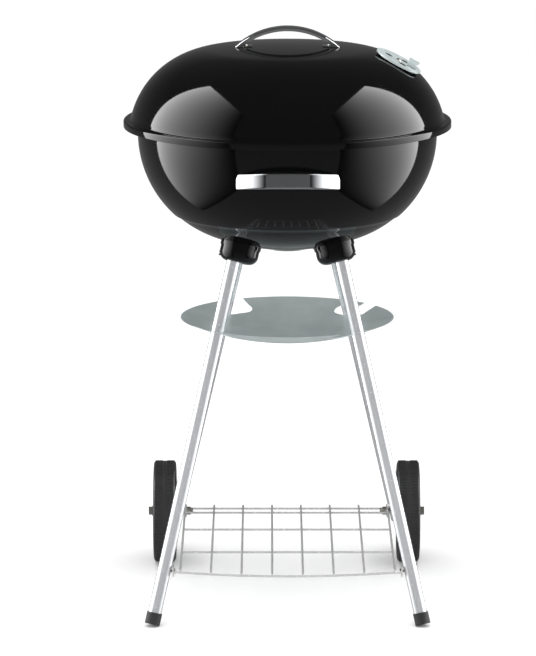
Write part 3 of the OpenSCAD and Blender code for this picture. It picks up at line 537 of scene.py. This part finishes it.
class KETTLE_OT_wheels(bpy.types.Operator):
    """Turns a wheel with a ribbed tread and spokes, and copies it to the other side"""

    bl_idname = "kettle.wheels"
    bl_label = "Wheels"

    def execute(self, context):
        s = context.scene.kettle_sizes
        low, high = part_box("wheel_right")
        radius = (high.z - low.z) / 2
        centre = (0, (low.y + high.y) / 2, (low.z + high.z) / 2)
        width, hub_r, rim_t = 33 * MM, 14 * MM, 12 * MM
        side_0, side_1, middle = low.x, low.x + width, low.x + width / 2
        web_0 = side_0 + 0.6 * width
        web_1 = web_0 + 4 * MM
        inner = radius - rim_t
        profile = self.section(
            (side_0, side_1, middle), (web_0, web_1),
            (side_0 + 11.3 * MM, high.x), (radius - s.rib_height, inner, hub_r))
        points = [Vector((x, centre[1], centre[2] + r)) for x, r in profile]
        wheel = turned(points, centre, (1, 0, 0), WHEEL_STEPS, closed=True)
        ribs = []
        tread_end, tread_gap, spoke_in = 2.2 * MM, 3 * MM, 0.5 * MM
        for a, b in ((side_0 + tread_end, middle - tread_gap),
                     (middle + tread_gap, side_1 - tread_end)):
            ribs.append(self.ring((a, b), radius - 1.1 * MM, (1.7 * MM, 2 * MM), centre,
                                  s.tread_ribs, 0.35 * MM))
        for a, b in ((web_1 - spoke_in, side_1 - 4 * MM), (side_0 + 8 * MM, web_0 + spoke_in)):
            ribs.append(self.ring((a, b), (hub_r + inner) / 2,
                                  (3 * MM, inner - hub_r + 3 * MM), centre,
                                  s.spokes, 0.6 * MM))
        clear_selection()
        for piece in [wheel] + ribs:
            piece.select_set(True)
        bpy.context.view_layer.objects.active = wheel
        bpy.ops.object.join()
        done(wheel, "wheel_turned_right", SMOOTH_UP_TO)
        clear_selection()
        wheel.select_set(True)
        bpy.context.view_layer.objects.active = wheel
        bpy.ops.object.duplicate(linked=False)
        other = bpy.context.object
        edit()
        bpy.ops.transform.mirror(constraint_axis=(True, False, False),
                                 orient_type="GLOBAL", center_override=(0, 0, 0))
        bpy.ops.mesh.flip_normals()
        done(other, "wheel_turned_left", SMOOTH_UP_TO)
        for piece, side in ((wheel, "right"), (other, "left")):
            put_finish(piece, materials()["wheel_plastic"])
            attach(piece, f"wheel_{side}")
            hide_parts(f"wheel_{side}")
        return {"FINISHED"}

    def section(self, sides, web, hub, radii):
        """The wheel's outline (x, r): tread with a raised seam, rim, web and hub."""
        side_0, side_1, middle = sides
        web_0, web_1 = web
        hub_0, hub_1 = hub
        tread, inner, hub_r = radii
        edge, soft, fillet = 4 * MM, 1.2 * MM, 2 * MM
        seam, seam_top, seam_rise = 1.1 * MM, 0.8 * MM, 0.35 * MM
        bore = 4.06 * MM
        return (
            arc((side_0 + edge, tread - edge), edge, 180, 90, 7)
            + [(middle - seam, tread), (middle - seam_top, tread + seam_rise),
               (middle + seam_top, tread + seam_rise), (middle + seam, tread)]
            + arc((side_1 - edge, tread - edge), edge, 90, 0, 7)
            + arc((side_1 - soft, inner + soft), soft, 0, -90, 4)
            + arc((web_1 + fillet, inner - fillet), fillet, 90, 180, 4)
            + arc((web_1 + fillet, hub_r + fillet), fillet, 180, 270, 4)
            + arc((hub_1 - soft, hub_r - soft), soft, 90, 0, 4)
            + [(hub_1, bore), (hub_0, bore)]
            + arc((hub_0 + soft, hub_r - soft), soft, 180, 90, 4)
            + arc((web_0 - fillet, hub_r + fillet), fillet, 270, 360, 4)
            + arc((web_0 - fillet, inner - fillet), fillet, 0, 90, 4)
            + arc((side_0 + soft, inner + soft), soft, 270, 180, 4))

    def ring(self, ends, out, section, centre, count, soft):
        """A softened bar between two ends along the axle, repeated evenly around it."""
        clear_selection()
        bpy.ops.mesh.primitive_cube_add(
            size=1, location=(sum(ends) / 2, centre[1], centre[2] + out),
            scale=(ends[1] - ends[0], *section))
        obj = bpy.context.object
        bpy.ops.object.transform_apply(location=True, rotation=True, scale=True)
        edit()
        bpy.ops.mesh.bevel(offset=soft, segments=1, affect="EDGES")
        made = 1
        while 2 * made <= count:
            bpy.ops.mesh.select_all(action="SELECT")
            self.copy_round(made / count, centre)
            made *= 2
        bpy.ops.object.mode_set(mode="OBJECT")
        if made < count:
            per_bar = len(obj.data.vertices) // made
            edit()
            bpy.ops.mesh.select_all(action="DESELECT")
            bpy.ops.object.mode_set(mode="OBJECT")
            for vertex in obj.data.vertices[: per_bar * (count - made)]:
                vertex.select = True
            bpy.ops.object.mode_set(mode="EDIT")
            self.copy_round(made / count, centre)
            bpy.ops.object.mode_set(mode="OBJECT")
        return obj

    def copy_round(self, part_turn, centre):
        """Copies what is selected by a part of a turn around the axle."""
        bpy.ops.mesh.duplicate()
        bpy.ops.transform.rotate(value=-math.tau * part_turn, orient_axis="X",
                                 orient_type="GLOBAL", center_override=centre)


class KETTLE_OT_finishes(bpy.types.Operator):
    """Gives each CAD node that stays visible the finish of its slot"""

    bl_idname = "kettle.finishes"
    bl_label = "Finishes"

    def execute(self, context):
        made = materials()
        for name, obj in frame["nodes"].items():
            obj.data.materials.clear()
            obj.data.materials.append(made[slot_of(name)])
        return {"FINISHED"}


class KETTLE_OT_stage(bpy.types.Operator):
    """Sets the floor, the softboxes, the world and the camera"""

    bl_idname = "kettle.stage"
    bl_label = "Stage"

    def execute(self, context):
        s = context.scene.kettle_stage
        self.floor(s)
        self.world(s)
        for side in (-1, 1):
            self.softbox(side, s)
        self.area_light("overhead", (0, -0.6, 4.2), (0, 0, 0.4), (3.0, 2.0), s.overhead)
        self.area_light("front_fill", (-0.5, -4.5, 1.3), (0, 0, 0.35), (3.0, 1.6), s.fill)
        camera_data = bpy.data.cameras.new("camera")
        camera_data.lens = s.lens
        camera_data.sensor_width = 36
        camera_data.clip_end = 60
        camera = bpy.data.objects.new("camera", camera_data)
        context.scene.collection.objects.link(camera)
        camera.location = (s.sideways, AXIS_Y - s.distance, s.height)
        camera.rotation_euler = (math.pi / 2 - s.pitch, 0, 0)
        context.scene.camera = camera
        context.scene.view_settings.view_transform = "Standard"
        return {"FINISHED"}

    def floor(self, s):
        clear_selection()
        bpy.ops.mesh.primitive_plane_add(size=30, location=(0, 0, -0.0005))
        floor = bpy.context.object
        done(floor, "floor")
        material, tree, shader = blank("floor")
        shader.inputs["Base Color"].default_value = (*s.floor, 1)
        shader.inputs["Roughness"].default_value = 0.9
        shader.inputs["Specular IOR Level"].default_value = 0.1
        floor.data.materials.append(material)
        floor.visible_glossy = False

    def world(self, s):
        """Pale for the camera and for soft light, darker in reflections."""
        world = bpy.data.worlds.new("studio")
        world.use_nodes = True
        bpy.context.scene.world = world
        tree = world.node_tree
        out = tree.nodes["World Output"]
        pale = tree.nodes["Background"]
        pale.inputs["Color"].default_value = (1, 1, 1, 1)
        pale.inputs["Strength"].default_value = s.backdrop
        dark = node(tree, "ShaderNodeBackground", Strength=1.0)
        coords = node(tree, "ShaderNodeTexCoord")
        split = node(tree, "ShaderNodeSeparateXYZ")
        ramp = node(tree, "ShaderNodeValToRGB")
        tree.links.new(coords.outputs["Generated"], split.inputs["Vector"])
        ranged = node(tree, "ShaderNodeMapRange")
        ranged.inputs["From Min"].default_value = -1
        ranged.inputs["From Max"].default_value = 1
        tree.links.new(split.outputs["Z"], ranged.inputs["Value"])
        tree.links.new(ranged.outputs["Result"], ramp.inputs["Fac"])
        stops = [(0.0, 0.26), (0.4, 0.2), (0.5, 0.14), (0.75, 0.07), (1.0, 0.1)]
        for place in stops[1:-1]:
            ramp.color_ramp.elements.new(place[0])
        for element, (position, value) in zip(ramp.color_ramp.elements, stops):
            element.position = position
            element.color = (value, value, value, 1)
        tree.links.new(ramp.outputs["Color"], dark.inputs["Color"])
        path = node(tree, "ShaderNodeLightPath")
        mix = node(tree, "ShaderNodeMixShader")
        tree.links.new(path.outputs["Is Glossy Ray"], mix.inputs["Fac"])
        tree.links.new(pale.outputs["Background"], mix.inputs[1])
        tree.links.new(dark.outputs["Background"], mix.inputs[2])
        tree.links.new(mix.outputs["Shader"], out.inputs["Surface"])

    def softbox(self, side, s):
        """A tall glowing panel beside the grill, brightest behind it, seen in reflections."""
        name = "softbox_left" if side < 0 else "softbox_right"
        clear_selection()
        bpy.ops.mesh.primitive_plane_add(size=1, location=(0, 0, 0))
        panel = bpy.context.object
        back, front, low, high = 0.7, -2.0, -1.4, 3.1
        bpy.ops.transform.resize(value=(high - low, back - front, 1))
        bpy.ops.transform.rotate(value=side * math.pi / 2, orient_axis="Y")
        bpy.ops.transform.translate(
            value=(side * s.panel_out, (back + front) / 2, (high + low) / 2))
        done(panel, name)
        material = bpy.data.materials.new(name)
        material.use_nodes = True
        tree = material.node_tree
        tree.nodes.remove(tree.nodes["Principled BSDF"])
        glow = node(tree, "ShaderNodeEmission")
        coords = node(tree, "ShaderNodeTexCoord")
        split = node(tree, "ShaderNodeSeparateXYZ")
        tree.links.new(coords.outputs["Object"], split.inputs["Vector"])
        depth = self.fade(tree, split.outputs["Y"], front, back, 1.9)
        rise = self.fade(tree, split.outputs["Z"], low, 0.7, 1.4)
        both = node(tree, "ShaderNodeMath", operation="MULTIPLY")
        tree.links.new(depth, both.inputs[0])
        tree.links.new(rise, both.inputs[1])
        power = node(tree, "ShaderNodeMath", operation="MULTIPLY")
        power.inputs[1].default_value = s.key
        tree.links.new(both.outputs["Value"], power.inputs[0])
        tree.links.new(power.outputs["Value"], glow.inputs["Strength"])
        tree.links.new(glow.outputs["Emission"], tree.nodes["Material Output"].inputs["Surface"])
        panel.data.materials.append(material)
        panel.visible_camera = False
        panel.visible_diffuse = False
        panel.visible_shadow = False

    def fade(self, tree, source, start, end, exponent):
        """Rises from 0 at start to 1 at end, slowly at first."""
        ranged = node(tree, "ShaderNodeMapRange")
        ranged.inputs["From Min"].default_value = start
        ranged.inputs["From Max"].default_value = end
        tree.links.new(source, ranged.inputs["Value"])
        curve = node(tree, "ShaderNodeMath", operation="POWER")
        tree.links.new(ranged.outputs["Result"], curve.inputs[0])
        curve.inputs[1].default_value = exponent
        return curve.outputs["Value"]

    def area_light(self, name, place, aim, size, energy):
        """A soft light that isn't seen in reflections."""
        data = bpy.data.lights.new(name, "AREA")
        data.shape = "RECTANGLE"
        data.size, data.size_y = size
        data.energy = energy
        light = bpy.data.objects.new(name, data)
        bpy.context.scene.collection.objects.link(light)
        light.location = place
        light.rotation_euler = (Vector(aim) - Vector(place)).to_track_quat("-Z", "Y").to_euler()
        light.visible_glossy = False


class KETTLE_PT_panel(bpy.types.Panel):
    """Lists the steps that build the grill"""

    bl_label = "Kettle Grill"
    bl_idname = "KETTLE_PT_panel"
    bl_space_type = "VIEW_3D"
    bl_region_type = "UI"
    bl_category = "Kettle Grill"

    def draw(self, context):
        for step in STEPS:
            self.layout.operator(step.bl_idname)
        for group in (context.scene.kettle_sizes, context.scene.kettle_colours,
                      context.scene.kettle_stage):
            box = self.layout.box()
            for name in group.__annotations__:
                box.prop(group, name)


STEPS = (KETTLE_OT_finishes, KETTLE_OT_lid, KETTLE_OT_bowl, KETTLE_OT_wheels, KETTLE_OT_stage)
GROUPS = (("kettle_sizes", KettleSizes), ("kettle_colours", KettleColours),
          ("kettle_stage", KettleStage))


def register():
    for name, group in GROUPS:
        bpy.utils.register_class(group)
        setattr(bpy.types.Scene, name, PointerProperty(type=group))
    for item in STEPS + (KETTLE_PT_panel,):
        bpy.utils.register_class(item)


def unregister():
    for item in (KETTLE_PT_panel,) + STEPS[::-1]:
        bpy.utils.unregister_class(item)
    for name, group in GROUPS[::-1]:
        delattr(bpy.types.Scene, name)
        bpy.utils.unregister_class(group)


def main():
    register()
    for step in STEPS:
        namespace, name = step.bl_idname.split(".")
        if getattr(getattr(bpy.ops, namespace), name)() != {"FINISHED"}:
            raise RuntimeError(f"{step.bl_label} did not finish")


if __name__ == "__main__":
    main()
